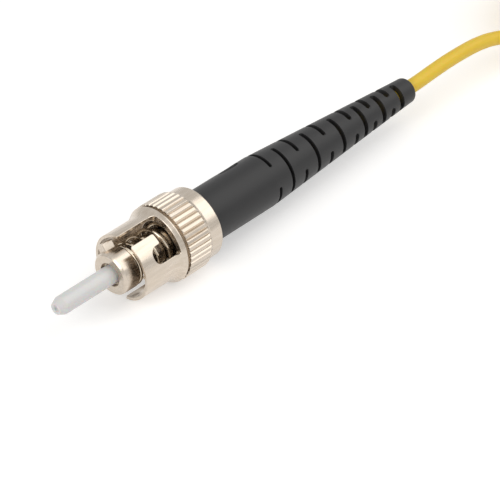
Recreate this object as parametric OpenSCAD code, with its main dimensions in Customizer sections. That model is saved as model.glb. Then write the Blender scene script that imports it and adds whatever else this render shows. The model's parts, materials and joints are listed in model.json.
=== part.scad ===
// Bayonet fibre-optic connector on a 2 mm simplex patch lead, with the lead's
// second connector stored behind the hank of spare cord.
// The connector's axis is X: the polished ferrule end is at the origin and the
// cord leaves towards +X.  It lies on its knurled nut, with +Z up.  Millimetres.

/* [Ferrule] */
// Diameter of the ceramic ferrule
ferrule_d = 2.5; // [2.4:0.05:2.6]
// Diameter of the polished end face
tip_d = 1.6; // [1.2:0.1:2]
// Length of the lead-in cone behind the end face
tip_cone_len = 0.95; // [0.4:0.05:1.2]
// Length of the ferrule that stands out of the nose
ferrule_out = 9.2; // [9:0.1:10]

/* [Connector body] */
// Diameter of the nose ring
nose_d = 5.8; // [5.4:0.1:6]
// Length of the nose ring
nose_len = 2.45; // [2.2:0.05:2.8]
// Diameter of the shaft that carries the spring and the nut
shaft_d = 4.2; // [4:0.1:4.4]
// Width of the key lug on the nose ring
key_w = 1.2; // [1:0.1:1.4]

/* [Coupling nut] */
// Distance from the ferrule end to the nut's open rim
nut_front = 11.2; // [11:0.1:11.6]
// Outer diameter of the nut's barrel
barrel_d = 9.2; // [9:0.1:9.4]
// Inner diameter of the nut's barrel
barrel_bore_d = 8.3; // [8.1:0.1:8.4]
// Diameter over the knurl
knurl_d = 10.7; // [10.4:0.1:11]
// Number of ridges in the knurl
knurl_teeth = 40; // [32:1:44]
// Width of one knurl groove at its mouth
knurl_groove = 0.46; // [0.3:0.02:0.5]
// Diameter of the plain collar behind the knurl
collar_d = 9.85; // [9.6:0.05:10]
// Width of a bayonet slot
slot_w = 2.4; // [2.2:0.1:2.6]

/* [Spring] */
// Diameter of the spring's outside
spring_d = 5.7; // [5.5:0.1:5.8]
// Diameter of the spring wire
spring_wire = 0.5; // [0.4:0.05:0.55]
// Open turns between the two closed ends
spring_open_turns = 3.2; // [3:0.2:4]

/* [Boot] */
// Diameter of the boot's plain front part
boot_d = 7.3; // [7:0.1:7.4]
// Diameter of the boot at its tail
boot_tail_d = 3.6; // [3.4:0.1:4]
// Width of the first relief slot
relief_w_first = 0.32; // [0.25:0.01:0.4]
// Width of the last relief slot
relief_w_last = 0.55; // [0.45:0.01:0.6]

/* [Cord] */
// Diameter of the cord
cord_d = 2; // [1.8:0.1:2]
// Layers of turns in the hank
hank_layers = 5; // [4:1:6]
// Length of the hank's straight runs
hank_run = 22; // [20:1:26]
// Thickness of the strap round the hank
strap_t = 0.4; // [0.3:0.05:0.5]

/* [Hidden] */
$fn = 96;
eps = 0.02;

// Stations along the axis, measured from the ferrule's end face
nose_x = ferrule_out;
nose_rear = nose_x + nose_len;
key_x = nose_x + 0.6;
key_rear = nose_rear - 0.15;
ferrule_rear = 12.7;
barrel_rear = 16.4;
shoulder_x = 17.6;
shoulder_rear = 17.75;
knurl_x = 18.25;
knurl_rear = 22.05;
collar_x = 22.45;
nut_rear = 24.3;
bore_rear = 17.9;
flange_x = 19.6;
flange_rear = 20.8;
washer_x = 19.05;
washer_t = 0.52;
clip_x = 20.85;
clip_t = 0.4;
shaft_rear = 21.8;
boot_x = 22;
post_rear = 29.8;
sleeve_step = 31;
sleeve_rear = 34.4;
jacket_x = 31.4;
taper_x = 35.85;
boot_rear = 64.9;

// Radii
ferrule_r = ferrule_d / 2;
seat_in_body_r = ferrule_r - 0.2;
fibre_r = 0.0625;
fibre_bore_r = 0.065;
nose_r = nose_d / 2;
nose_recess_r = 1.6;
key_r = 3.85;
shaft_r = shaft_d / 2;
barrel_r = barrel_d / 2;
barrel_bore_r = barrel_bore_d / 2;
knurl_r = knurl_d / 2;
groove_r = knurl_r - 0.35;
collar_r = collar_d / 2;
seat_r = 3.2;
nut_running_r = shaft_r + 0.08;
nut_rear_bore_r = 4;
washer_r = 3;
clip_groove_r = 1.7;
clip_r = 2.8;
post_r = 1.55;
body_bore_r = 0.5;
buffer_r = 0.45;
yarn_r = 0.65;
jacket_r = cord_d / 2;
sleeve_r = 2.25;
sleeve_neck_r = 1.45;
yarn_on_post_r = 1.85;
boot_r = boot_d / 2;
boot_tail_r = boot_tail_d / 2;
boot_cavity_r = 2.3;
boot_neck_r = 1.5;
boot_bore_r = jacket_r + 0.04;
post_rib = 0.1;
post_ribs = 8;

// Bayonet slots, as angles round the axis from +Z towards -Y
entry_from = -7.4;
slot_angle = 2 * asin(slot_w / 2 / barrel_r);
notch_to = 72.4;
notch_from = notch_to - slot_angle;
slot_floor = 17.1;
tab_rear = 15;
notch_x = 13.2;

// Relief slots of the boot: seven at the wider pitch, then five closer ones
relief_first = 36.35;
relief_pitch = 2.62;
relief_rear_pitch = 1.94;
relief_front_count = 7;
relief_count = 12;
relief_angle = 132.5;
relief_centre = 54.4;

// Mark on the boot and key lug on the nose: their angle, and the mark's station
mark_angle = -38;
mark_x = 32.3;

// Cord route
floor_z = -knurl_r;
hank_x = 91;
hank_inner_r = 5;
hank_outer_r = 9;
hank_z = floor_z + strap_t;
hank_h = hank_layers * cord_d;
strap_w = 5;
lead_route = [
    [64.9, 0, 0], [67.5, 0, 0.12], [70, 0, 0.3], [73, 0, 0.45], [76, 0, 0.42], [79, 0, 0.22],
    [82, -0.2, -0.2], [85, -0.85, -0.9], [88, -2.1, -1.85], [91, -3.8, -2.8], [94, -5.7, -3.55],
    [97, -7.3, -3.9], [100, -8, -3.95]
];
far_lead_route = [
    [122, -8, 4.05], [125, -7.95, 4], [128, -7.25, 3.45], [131, -6.1, 2.5], [134, -4.7, 1.4],
    [137, -3.6, 0.5], [140, -3.02, 0.02], [142.5, -3, 0]
];

// Place of the far connector's ferrule end, beside the near connector's axis
far_tip = far_lead_route[len(far_lead_route) - 1][0] + boot_rear;
far_y = far_lead_route[len(far_lead_route) - 1][1];

// Turns a profile of [x, radius] points round the X axis
module turned(points)
    rotate([0, 90, 0]) rotate_extrude() polygon([for (p = points) [p[1], p[0]]]);

// A ring sector between two stations, two radii and two angles
module ring_sector(x0, x1, r0, r1, from, to)
    rotate([0, 90, 0]) rotate([0, 0, from + 180]) rotate_extrude(angle = to - from)
        translate([r0, x0]) square([r1 - r0, x1 - x0]);

// A cylinder that points outwards from the axis
module spoke(x, angle, r, r0, r1)
    translate([x, 0, 0]) rotate([angle, 0, 0]) translate([0, 0, r0]) cylinder(r = r, h = r1 - r0, $fn = 32);

// A plain tube along the X axis
module tube(x0, x1, r0, r1)
    turned([[x0, r0], [x1, r0], [x1, r1], [x0, r1]]);

// ---- sweeps -------------------------------------------------------------
function unit(v) = v / norm(v);
function tangent(path, i) =
    unit(path[min(i + 1, len(path) - 1)] - path[max(i - 1, 0)]);
function ring_points(centre, out, side, r, sides) =
    [for (k = [0 : sides - 1]) let (a = 360 * k / sides) centre + r * (cos(a) * out + sin(a) * side)];
function sweep_faces(rings, sides) = concat(
    [[for (k = [0 : sides - 1]) k]],
    [for (i = [0 : rings - 2]) for (k = [0 : sides - 1])
        [i * sides + k, (i + 1) * sides + k, (i + 1) * sides + (k + 1) % sides, i * sides + (k + 1) % sides]],
    [[for (k = [sides - 1 : -1 : 0]) (rings - 1) * sides + k]]
);

// A cord along a route, its rings kept upright
module cord_along(route, r, sides) {
    rings = [for (i = [0 : len(route) - 1])
        let (t = tangent(route, i), side = unit(cross([0, 0, 1], t)), up = cross(t, side))
        ring_points(route[i], up, side, r, sides)];
    polyhedron([for (ring = rings) for (p = ring) p], sweep_faces(len(route), sides), convexity = 6);
}

// ---- pieces of one connector --------------------------------------------
// Zirconia ferrule, ground all over, with a thinner tail that is pressed into the body
module ferrule() {
    color("white") turned([
        [0, fibre_bore_r], [0, tip_d / 2], [tip_cone_len, ferrule_r],
        [nose_x - 0.1, ferrule_r], [nose_x - 0.05, seat_in_body_r], [ferrule_rear - 0.3, seat_in_body_r],
        [ferrule_rear, seat_in_body_r - 0.3], [ferrule_rear, 0.4],
        [ferrule_rear - 0.6, fibre_bore_r]
    ]);
}

// Glass fibre, polished flush with the ferrule's end
module optical_fibre() {
    color("lightcyan") rotate([0, 90, 0]) cylinder(r = fibre_r, h = boot_rear, $fn = 24);
}

// Key lug of the nose ring, which lines up with the mark on the boot
module key_lug()
    rotate([mark_angle, 0, 0]) translate([key_x, -key_w / 2, nose_r - 0.4])
        cube([key_rear - key_x, key_w, key_r - nose_r + 0.4]);

// Nickel-plated body: nose ring with its key, shaft, clip groove and ribbed crimp post
module connector_body() {
    rib_pitch = (post_rear - shaft_rear - 0.6) / post_ribs;
    color("silver") {
        key_lug();
        turned(concat(
            [
                [nose_x + 0.7, seat_in_body_r], [nose_x + 0.7, nose_recess_r], [nose_x + 0.15, nose_recess_r],
                [nose_x, nose_recess_r + 0.15], [nose_x, nose_r - 0.3], [nose_x + 0.1, nose_r - 0.12],
                [nose_x + 0.3, nose_r], [nose_rear - 0.1, nose_r], [nose_rear, nose_r - 0.1],
                [nose_rear, shaft_r], [clip_x - 0.02, shaft_r], [clip_x - 0.02, clip_groove_r],
                [clip_x + clip_t + 0.02, clip_groove_r], [clip_x + clip_t + 0.02, shaft_r],
                [shaft_rear, shaft_r], [shaft_rear, post_r]
            ],
            [for (i = [0 : post_ribs - 1]) each let (x = shaft_rear + 0.3 + i * rib_pitch) [
                [x, post_r], [x + 0.25 * rib_pitch, post_r - post_rib],
                [x + 0.5 * rib_pitch, post_r - post_rib], [x + 0.75 * rib_pitch, post_r]
            ]],
            [
                [post_rear, post_r], [post_rear, body_bore_r],
                [ferrule_rear, body_bore_r], [ferrule_rear, seat_in_body_r]
            ]
        ));
    }
}

// Compression spring with most of a turn closed at each end
module spring() {
    sides = 8;
    per_turn = 20;
    end_turns = 0.8;
    start_angle = -50;
    mean_r = (spring_d - spring_wire) / 2;
    x0 = nose_rear + spring_wire / 2 + eps / 2;
    x1 = washer_x - spring_wire / 2 - eps / 2;
    closed = spring_wire + eps;
    open = (x1 - x0 - 2 * end_turns * closed) / spring_open_turns;
    turns = spring_open_turns + 2 * end_turns;
    rings = [for (i = [0 : turns * per_turn])
        let (
            t = i / per_turn,
            opened = max(0, min(t - end_turns, spring_open_turns)),
            x = x0 + closed * (t - opened) + open * opened,
            a = start_angle + 360 * t,
            out = [0, -sin(a), cos(a)]
        )
        ring_points([x, 0, 0] + mean_r * out, out, [1, 0, 0], spring_wire / 2, sides)];
    color("gainsboro")
        polyhedron([for (ring = rings) for (p = ring) p], sweep_faces(len(rings), sides), convexity = 10);
}

// Flat washer between the spring and the nut's flange
module thrust_washer() {
    color("lightgray") tube(washer_x, washer_x + washer_t, shaft_r + 0.08, washer_r);
}

// A slot with one round end, cut square to the axis by an end mill
module milled(from_x, to_x, angle, w, r0, r1)
    rotate([angle, 0, 0]) translate([0, 0, r0]) linear_extrude(r1 - r0) {
        translate([to_x, 0]) circle(d = w, $fn = 32);
        translate([min(from_x, to_x), -w / 2]) square([abs(to_x - from_x), w]);
    }

// One bayonet slot: entry channel, turn behind the tab, and locking notch
module bayonet_slot() {
    entry_middle = entry_from + slot_angle / 2;
    notch_middle = notch_to - slot_angle / 2;
    corner_x = slot_floor - slot_w / 2;
    r0 = barrel_bore_r - 1;
    r1 = knurl_r;
    milled(nut_front - 1, corner_x, entry_middle, slot_w, r0, r1);
    ring_sector(tab_rear, slot_floor, r0, r1, entry_middle, notch_middle);
    milled(corner_x, notch_x + slot_w / 2, notch_middle, slot_w, r0, r1);
    spoke(corner_x, notch_middle, slot_w / 2, r0, r1);
}

// One V groove of the knurl, run through from end to end
module knurl_groove_cut(angle) {
    side = knurl_groove / sqrt(2);
    rotate([angle, 0, 0]) translate([knurl_x - 0.3, 0, knurl_r]) rotate([45, 0, 0])
        translate([0, -side / 2, -side / 2]) cube([knurl_rear - knurl_x + 0.6, side, side]);
}

// Turned and knurled nut with two bayonet slots
module coupling_nut() {
    color("silver") difference() {
        turned([
            [nut_front, barrel_bore_r], [nut_front, barrel_r - 0.1], [nut_front + 0.1, barrel_r],
            [barrel_rear, barrel_r], [shoulder_x, knurl_r - 0.05], [shoulder_rear, knurl_r - 0.05],
            [shoulder_rear, groove_r], [knurl_x, groove_r], [knurl_x, knurl_r - 0.15],
            [knurl_x + 0.15, knurl_r], [knurl_rear - 0.15, knurl_r], [knurl_rear, knurl_r - 0.1],
            [collar_x, collar_r], [nut_rear - 0.3, collar_r], [nut_rear - 0.1, collar_r - 0.1],
            [nut_rear, collar_r - 0.3], [nut_rear, nut_rear_bore_r], [flange_rear, nut_rear_bore_r],
            [flange_rear, nut_running_r], [flange_x, nut_running_r], [flange_x, seat_r],
            [bore_rear, seat_r], [bore_rear, barrel_bore_r]
        ]);
        for (side = [0, 180]) rotate([side, 0, 0]) bayonet_slot();
        for (i = [0 : knurl_teeth - 1]) knurl_groove_cut(i * 360 / knurl_teeth);
    }
}

// Open spring-steel ring that keeps the nut on the body
module retaining_clip() {
    gap = 60;
    color("dimgray") ring_sector(clip_x, clip_x + clip_t, clip_groove_r + 0.02, clip_r, gap / 2, 360 - gap / 2);
}

// Stepped sleeve, crimped over the yarn and the jacket
module crimp_sleeve() {
    color("darkgray") turned([
        [shaft_rear + 0.1, yarn_on_post_r], [shaft_rear + 0.1, sleeve_r], [post_rear, sleeve_r],
        [sleeve_step, sleeve_neck_r], [sleeve_rear, sleeve_neck_r], [sleeve_rear, jacket_r],
        [sleeve_step, jacket_r], [post_rear, yarn_on_post_r]
    ]);
}

// Tight buffer over the fibre
module tight_buffer() {
    color("ivory") tube(ferrule_rear + 0.2, boot_rear, fibre_bore_r, buffer_r);
}

// Yarn: spread over the crimp post, then gathered round the buffer
module aramid_yarn() {
    color("gold") turned([
        [shaft_rear + 0.3, post_r], [post_rear, post_r], [post_rear + 0.1, body_bore_r + 0.2],
        [jacket_x, buffer_r], [boot_rear, buffer_r], [boot_rear, yarn_r], [jacket_x, yarn_r],
        [sleeve_step, jacket_r], [post_rear, yarn_on_post_r], [shaft_rear + 0.3, yarn_on_post_r]
    ]);
}

// The jacket's end, from the crimp to the boot's tail
module cable_jacket() {
    color("gold") tube(jacket_x, boot_rear, yarn_r, jacket_r);
}

function relief_x(i) = relief_first + relief_pitch * min(i, relief_front_count - 1)
    + relief_rear_pitch * max(0, i - relief_front_count + 1);
function relief_w(i) = relief_w_first + (relief_w_last - relief_w_first) * i / (relief_count - 1);

// A pair of relief slots, opposite each other, cut through to the cord
module relief_pair(i) {
    half_w = relief_w(i) / 2;
    x = relief_x(i);
    centre = relief_centre + (i % 2 == 0 ? 90 : 0);
    for (side = [0, 180])
        ring_sector(x - half_w, x + half_w, jacket_r - 0.1, boot_r + 1,
            centre + side - relief_angle / 2, centre + side + relief_angle / 2);
}

// Shallow oval mark in line with the key lug
module boot_mark() {
    length = 3.6;
    width = 1.5;
    rotate([mark_angle, 0, 0]) translate([mark_x, 0, boot_r - 0.3]) {
        for (end = [-1, 1]) translate([end * (length - width) / 2, 0, 0]) cylinder(d = width, h = 1, $fn = 32);
        translate([-(length - width) / 2, -width / 2, 0]) cube([length - width, width, 1]);
    }
}

// Moulded boot with staggered relief slots
module strain_relief_boot() {
    tail_round = 0.7;
    color("dimgray") difference() {
        turned(concat(
            [
                [boot_x, boot_cavity_r], [boot_x, boot_r - 0.2], [boot_x + 0.2, boot_r],
                [taper_x, boot_r]
            ],
            [for (a = [0 : 22.5 : 90]) [
                boot_rear - tail_round + tail_round * sin(a),
                boot_tail_r - tail_round + tail_round * cos(a)
            ]],
            [
                [boot_rear, boot_bore_r], [sleeve_rear + 0.6, boot_bore_r],
                [sleeve_rear + 0.2, boot_neck_r], [sleeve_step + 0.2, boot_neck_r],
                [post_rear + 0.3, boot_cavity_r]
            ]
        ));
        for (i = [0 : relief_count - 1]) relief_pair(i);
        boot_mark();
    }
}

// ---- cord and hank ------------------------------------------------------
module cord_lead() {
    color("gold") cord_along(lead_route, cord_d / 2, 8);
}

module far_cord_lead() {
    color("gold") cord_along(far_lead_route, cord_d / 2, 8);
}

// Outline of the hank: straight runs with round ends
module stadium(r) {
    translate([hank_x + hank_outer_r, 0]) circle(r = r);
    translate([hank_x + hank_outer_r + hank_run, 0]) circle(r = r);
    translate([hank_x + hank_outer_r, -r]) square([hank_run, 2 * r]);
}

module cord_hank() {
    color("gold") translate([0, 0, hank_z]) linear_extrude(hank_h)
        difference() {
            stadium(hank_outer_r);
            stadium(hank_inner_r);
        }
}

// Rectangle with round corners, drawn about the origin
module round_rectangle(w, h, r) {
    for (x = [-1, 1], y = [-1, 1]) translate([x * (w / 2 - r), y * (h / 2 - r)]) circle(r = r);
    square([w - 2 * r, h], center = true);
    square([w, h - 2 * r], center = true);
}

// Soft strap closed round the middle of the hank
module hank_strap() {
    w = 2 * hank_outer_r + 0.04;
    h = hank_h + 0.04;
    color("dimgray") translate([hank_x + hank_outer_r + hank_run / 2 - strap_w / 2, 0, hank_z + hank_h / 2])
        rotate([90, 0, 90]) linear_extrude(strap_w) difference() {
            round_rectangle(w + 2 * strap_t - 0.04, h + 2 * strap_t - 0.04, 0.6);
            square([w, h], center = true);
        }
}

// Puts a connector piece at the lead's far end, facing the other way
module at_far_end() translate([far_tip, far_y, 0]) rotate([0, 0, 180]) children();

ferrule();
optical_fibre();
connector_body();
spring();
thrust_washer();
coupling_nut();
retaining_clip();
crimp_sleeve();
tight_buffer();
aramid_yarn();
cable_jacket();
strain_relief_boot();
cord_lead();
cord_hank();
hank_strap();
far_cord_lead();
at_far_end() ferrule();  // far_ferrule
at_far_end() optical_fibre();  // far_optical_fibre
at_far_end() connector_body();  // far_connector_body
at_far_end() spring();  // far_spring
at_far_end() thrust_washer();  // far_thrust_washer
at_far_end() coupling_nut();  // far_coupling_nut
at_far_end() retaining_clip();  // far_retaining_clip
at_far_end() crimp_sleeve();  // far_crimp_sleeve
at_far_end() tight_buffer();  // far_tight_buffer
at_far_end() aramid_yarn();  // far_aramid_yarn
at_far_end() cable_jacket();  // far_cable_jacket
at_far_end() strain_relief_boot();  // far_strain_relief_boot
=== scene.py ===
import json
import math

import bpy
import bmesh
from mathutils import Matrix, Vector
from mathutils.geometry import delaunay_2d_cdt

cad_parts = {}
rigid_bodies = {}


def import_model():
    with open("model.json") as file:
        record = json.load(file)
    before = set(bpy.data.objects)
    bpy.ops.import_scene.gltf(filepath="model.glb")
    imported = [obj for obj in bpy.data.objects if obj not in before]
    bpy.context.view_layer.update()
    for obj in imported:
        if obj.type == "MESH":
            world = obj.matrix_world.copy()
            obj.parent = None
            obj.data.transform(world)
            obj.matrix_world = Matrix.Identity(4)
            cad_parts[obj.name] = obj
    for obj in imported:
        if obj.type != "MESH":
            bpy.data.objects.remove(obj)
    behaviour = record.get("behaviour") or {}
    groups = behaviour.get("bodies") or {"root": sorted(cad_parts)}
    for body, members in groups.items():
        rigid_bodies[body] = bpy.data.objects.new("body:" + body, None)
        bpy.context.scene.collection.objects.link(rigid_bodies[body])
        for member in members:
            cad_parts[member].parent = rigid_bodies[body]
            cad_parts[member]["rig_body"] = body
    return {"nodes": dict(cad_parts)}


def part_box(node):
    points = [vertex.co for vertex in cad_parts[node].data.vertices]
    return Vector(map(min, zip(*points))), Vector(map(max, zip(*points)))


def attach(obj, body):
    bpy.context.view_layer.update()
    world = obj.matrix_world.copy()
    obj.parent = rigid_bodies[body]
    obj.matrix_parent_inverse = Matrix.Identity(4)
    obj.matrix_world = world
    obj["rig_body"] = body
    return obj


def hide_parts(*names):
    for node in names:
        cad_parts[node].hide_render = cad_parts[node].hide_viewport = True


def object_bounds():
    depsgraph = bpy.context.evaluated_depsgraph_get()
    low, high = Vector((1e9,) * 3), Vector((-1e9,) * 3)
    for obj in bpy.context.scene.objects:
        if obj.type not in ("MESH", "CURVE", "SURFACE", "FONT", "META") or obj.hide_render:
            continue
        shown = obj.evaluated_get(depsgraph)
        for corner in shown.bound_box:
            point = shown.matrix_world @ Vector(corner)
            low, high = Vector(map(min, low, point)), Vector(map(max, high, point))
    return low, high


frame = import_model()
cad_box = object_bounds()
MM = 0.001

# ---- Studio -------------------------------------------------------------
# A pale table under a white backdrop, one large soft box high on the right,
# a smaller one on the left, and a long lens on a tripod.
CAMERA_PLACE = (-0.18204, -0.20730, 0.22425)
CAMERA_TILT, CAMERA_PAN = 51.954, -46.222
ROOM_STRENGTH, TABLE_LIFT = 0.33, 0.42
TABLE_HALF, TABLE_GAP = 3, 0.02 * MM
view = bpy.data.cameras.new("studio_camera")
view.lens = 209.39
view.sensor_width = 36
camera = bpy.data.objects.new("studio_camera", view)
camera.location = CAMERA_PLACE
camera.rotation_euler = (math.radians(CAMERA_TILT), 0, math.radians(CAMERA_PAN))
bpy.context.scene.collection.objects.link(camera)
bpy.context.scene.camera = camera
bpy.context.scene.view_settings.view_transform = "Standard"


def shown_white(nodes, links, seen, other):
    """Mixes the shader that camera, mirror and glass rays see with the one that lights the rest."""
    path = nodes.new("ShaderNodeLightPath")
    mirrored = nodes.new("ShaderNodeMath")
    mirrored.operation = "MAXIMUM"
    links.new(path.outputs["Is Camera Ray"], mirrored.inputs[0])
    links.new(path.outputs["Is Glossy Ray"], mirrored.inputs[1])
    through = nodes.new("ShaderNodeMath")
    through.operation = "MAXIMUM"
    links.new(mirrored.outputs[0], through.inputs[0])
    links.new(path.outputs["Is Transmission Ray"], through.inputs[1])
    mix = nodes.new("ShaderNodeMixShader")
    links.new(through.outputs[0], mix.inputs[0])
    links.new(other, mix.inputs[1])
    links.new(seen, mix.inputs[2])
    return mix.outputs[0]


world = bpy.data.worlds.new("studio")
bpy.context.scene.world = world
world.use_nodes = True
nodes, links = world.node_tree.nodes, world.node_tree.links
nodes.clear()
room = nodes.new("ShaderNodeBackground")
room.inputs["Color"].default_value = (1, 0.985, 0.97, 1)
room.inputs["Strength"].default_value = ROOM_STRENGTH
white = nodes.new("ShaderNodeBackground")
white.inputs["Strength"].default_value = 1
out = nodes.new("ShaderNodeOutputWorld")
links.new(shown_white(nodes, links, white.outputs[0], room.outputs[0]), out.inputs[0])

table_z = cad_box[0].z - TABLE_GAP
table_mesh = bpy.data.meshes.new("table_top")
table_mesh.from_pydata(
    [(x * TABLE_HALF, y * TABLE_HALF, table_z) for x, y in ((-1, -1), (1, -1), (1, 1), (-1, 1))],
    [], [(0, 1, 2, 3)],
)
table_top = bpy.data.objects.new("table_top", table_mesh)
bpy.context.scene.collection.objects.link(table_top)
paper = bpy.data.materials.new("pale_paper")
paper.use_nodes = True
nodes, links = paper.node_tree.nodes, paper.node_tree.links
shader = nodes["Principled BSDF"]
shader.inputs["Base Color"].default_value = (0.9, 0.9, 0.9, 1)
shader.inputs["Roughness"].default_value = 0.9
shader.inputs["Specular IOR Level"].default_value = 0.1
lift = nodes.new("ShaderNodeEmission")
lift.inputs["Strength"].default_value = TABLE_LIFT
both = nodes.new("ShaderNodeAddShader")
links.new(shader.outputs[0], both.inputs[0])
links.new(lift.outputs[0], both.inputs[1])
links.new(
    shown_white(nodes, links, both.outputs[0], shader.outputs[0]),
    nodes["Material Output"].inputs["Surface"],
)
table_mesh.materials.append(paper)


def soft_box(name, place, aim, size, watts):
    """A square of light that faces a point on the part; the size is one side in metres."""
    lamp = bpy.data.lights.new(name, "AREA")
    lamp.shape = "SQUARE"
    lamp.size = size
    lamp.energy = watts
    lamp.color = (1, 0.985, 0.96)
    item = bpy.data.objects.new(name, lamp)
    item.location = place
    item.rotation_euler = (Vector(aim) - Vector(place)).to_track_quat("-Z", "Y").to_euler()
    bpy.context.scene.collection.objects.link(item)


soft_box("key_box", place=(0.3, -0.2, 0.48), aim=(0.02, 0, 0), size=0.64, watts=1.5)
soft_box("left_box", place=(-0.45, -0.05, 0.35), aim=(0.03, 0, 0), size=0.4, watts=1.2)

# ---- Ceramic ferrule ----------------------------------------------------
# Zirconia pin, ground all over, with the fibre's hole through it.  It is
# pressed into the plated body, and its end is polished with the fibre.
FAR_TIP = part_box("far_ferrule")[1].x
FAR_Y = sum(corner.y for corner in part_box("far_ferrule")) / 2
FAR_TURN = Matrix.Translation((FAR_TIP, FAR_Y, 0)) @ Matrix.Rotation(math.pi, 4, "Z")
COLUMNS = 120
NOISE_LOW, NOISE_HIGH = 0.3, 0.7
WELD, SLIVER = 0.0015 * MM, 0.0005 * MM


def display(red, green, blue):
    """A colour given as it looks on a screen, 0 to 255."""
    return tuple(
        c / 12.92 if c <= 0.04045 else ((c + 0.055) / 1.055) ** 2.4
        for c in (v / 255 for v in (red, green, blue))
    ) + (1,)


def finish(name, light, dark, rough, grain, stretch=(1, 1, 1), bump=0.0, metal=0.0, **fixed):
    """Noise on Object coordinates drives colour, roughness and a fine relief; grain is in mm."""
    material = bpy.data.materials.new(name)
    material.use_nodes = True
    nodes, links = material.node_tree.nodes, material.node_tree.links
    shader = nodes["Principled BSDF"]
    place = nodes.new("ShaderNodeTexCoord")
    scale = nodes.new("ShaderNodeMapping")
    scale.inputs["Scale"].default_value = [s / (grain * MM) for s in stretch]
    links.new(place.outputs["Object"], scale.inputs["Vector"])
    noise = nodes.new("ShaderNodeTexNoise")
    noise.inputs["Scale"].default_value = 1
    noise.inputs["Detail"].default_value = 4
    links.new(scale.outputs["Vector"], noise.inputs["Vector"])
    tint = nodes.new("ShaderNodeValToRGB")
    tint.color_ramp.elements[0].position = NOISE_LOW
    tint.color_ramp.elements[0].color = dark
    tint.color_ramp.elements[1].position = NOISE_HIGH
    tint.color_ramp.elements[1].color = light
    links.new(noise.outputs["Fac"], tint.inputs["Fac"])
    links.new(tint.outputs["Color"], shader.inputs["Base Color"])
    haze = nodes.new("ShaderNodeMapRange")
    haze.inputs["From Min"].default_value = NOISE_LOW
    haze.inputs["From Max"].default_value = NOISE_HIGH
    haze.inputs["To Min"].default_value = rough[0]
    haze.inputs["To Max"].default_value = rough[1]
    links.new(noise.outputs["Fac"], haze.inputs["Value"])
    links.new(haze.outputs["Result"], shader.inputs["Roughness"])
    if bump:
        relief = nodes.new("ShaderNodeBump")
        relief.inputs["Strength"].default_value = 1
        relief.inputs["Distance"].default_value = bump * MM
        links.new(noise.outputs["Fac"], relief.inputs["Height"])
        links.new(relief.outputs["Normal"], shader.inputs["Normal"])
    shader.inputs["Metallic"].default_value = metal
    for socket, value in fixed.items():
        shader.inputs[socket.replace("_", " ")].default_value = value
    return material


def rounded(corners, steps=4):
    """Points of a closed outline whose corners are (a, b, radius)."""
    points = []
    for i, (a, b, radius) in enumerate(corners):
        corner = Vector((a, b))
        if not radius:
            points.append((a, b))
            continue
        back = (Vector(corners[i - 1][:2]) - corner).normalized()
        ahead = (Vector(corners[(i + 1) % len(corners)][:2]) - corner).normalized()
        half = math.acos(max(-1, min(1, back.dot(ahead)))) / 2
        centre = corner + (back + ahead).normalized() * radius / math.sin(half)
        start = corner + back * radius / math.tan(half) - centre
        turn = math.pi - 2 * half
        if back.x * ahead.y - back.y * ahead.x > 0:
            turn = -turn
        for k in range(steps + 1):
            step = Matrix.Rotation(turn * k / steps, 2)
            points.append(tuple(centre + step @ start))
    return points


def at(x, radius, psi):
    """A point at station x, in millimetres; psi is in degrees from +Z towards -Y."""
    turn = math.radians(psi)
    return (x * MM, -radius * math.sin(turn) * MM, radius * math.cos(turn) * MM)


class Shell:
    """Collects the faces of one piece; points that coincide are joined at the end."""

    def __init__(self):
        self.points = []
        self.faces = []

    def add(self, points, faces):
        start = len(self.points)
        self.points += points
        self.faces += [[start + i for i in face] for face in faces]

    def turned(self, profile, closed=True):
        """A profile of (x, radius) points turned round the axis."""
        rows = len(profile)
        points = [at(x, r, 360 * c / COLUMNS) for c in range(COLUMNS) for x, r in profile]
        faces = []
        for c in range(COLUMNS):
            here, there = c * rows, (c + 1) % COLUMNS * rows
            for i in range(rows if closed else rows - 1):
                j = (i + 1) % rows
                faces.append((here + i, there + i, there + j, here + j))
        self.add(points, faces)

    def mesh(self, name):
        """One mesh of the collected faces, its normals outwards."""
        made = bpy.data.meshes.new(name)
        made.from_pydata(self.points, [], self.faces)
        work = bmesh.new()
        work.from_mesh(made)
        bmesh.ops.remove_doubles(work, verts=work.verts, dist=WELD)
        bmesh.ops.dissolve_degenerate(work, edges=work.edges, dist=SLIVER)
        bmesh.ops.recalc_face_normals(work, faces=work.faces)
        work.to_mesh(made)
        work.free()
        return made


def lead_by_area(mesh):
    """Smooth shading in which the wide faces stay flat and the narrow bevels take the turn."""
    mesh.polygons.foreach_set("use_smooth", [True] * len(mesh.polygons))
    leading = [Vector() for _ in mesh.vertices]
    for face in mesh.polygons:
        for v in face.vertices:
            leading[v] += face.normal * face.area
    mesh.normals_split_custom_set_from_vertices([n.normalized() for n in leading])


def fit(name, mesh, material, node, stands_in=True):
    """Puts a piece in place of a CAD node, on that node's body."""
    mesh.materials.clear()
    mesh.materials.append(material)
    lead_by_area(mesh)
    piece = bpy.data.objects.new(name, mesh)
    bpy.context.scene.collection.objects.link(piece)
    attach(piece, frame["nodes"][node]["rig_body"])
    if stands_in:
        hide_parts(node)
    return piece


def fit_both_ends(name, mesh, material, node, stands_in=True):
    """Fits a piece at this end of the lead and its turned copy at the far end."""
    far_mesh = mesh.copy()
    far_mesh.name = "far_" + name
    far_mesh.transform(FAR_TURN)
    fit(name, mesh, material, node, stands_in)
    fit("far_" + name, far_mesh, material, "far_" + node, stands_in)


def dress(node, material):
    """Gives a CAD node its finish."""
    mesh = frame["nodes"][node].data
    mesh.materials.clear()
    mesh.materials.append(material)


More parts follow.
